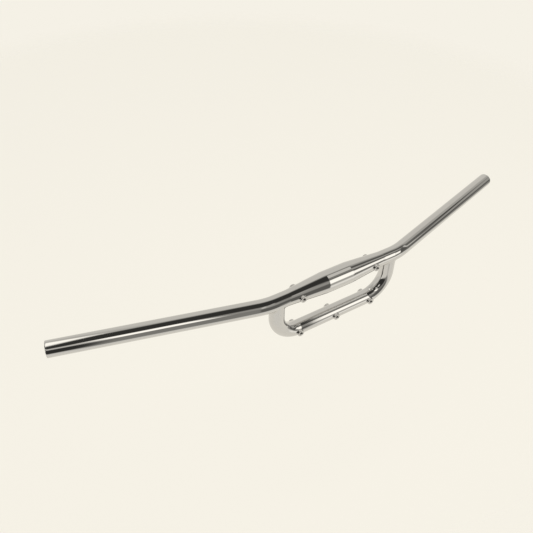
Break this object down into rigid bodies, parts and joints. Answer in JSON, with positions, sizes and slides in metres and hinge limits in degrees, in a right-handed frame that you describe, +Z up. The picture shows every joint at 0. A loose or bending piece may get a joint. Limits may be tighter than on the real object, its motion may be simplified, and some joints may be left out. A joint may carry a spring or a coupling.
{
  "type": "flat handlebar",
  "caption": "Chrome-plated flat handlebar with swept-back arms, a thicker clamp middle, and a U-shaped tube loop with threaded bosses below it.",
  "frame": {"origin": "on the main tube's axis at the middle of the clamp zone", "axes": "+X along the clamp zone to the rider's left, +Y back towards the rider, where the arms sweep, +Z up, away from the loop"},
  "size_m": [0.776, 0.1017, 0.094],
  "materials": {
    "bar_chrome": "polished chrome plate on a drawn steel tube",
    "loop_chrome": "polished chrome plate on a bent steel tube",
    "braze_chrome": "chrome plate over a filed brazed fillet",
    "boss_chrome": "chrome plate on a turned steel boss"
  },
  "bodies": {
    "root": {"main_tube": "bar_chrome", "loop_tube": "loop_chrome", "left_braze_fillet": "braze_chrome", "right_braze_fillet": "braze_chrome", "main_boss_front_left": "boss_chrome", "main_boss_front_right": "boss_chrome", "main_boss_rear_left": "boss_chrome", "main_boss_rear_right": "boss_chrome", "loop_boss_front_left": "boss_chrome", "loop_boss_front_middle": "boss_chrome", "loop_boss_front_right": "boss_chrome", "loop_boss_rear_left": "boss_chrome", "loop_boss_rear_middle": "boss_chrome", "loop_boss_rear_right": "boss_chrome"}
  },
  "joints": []
}
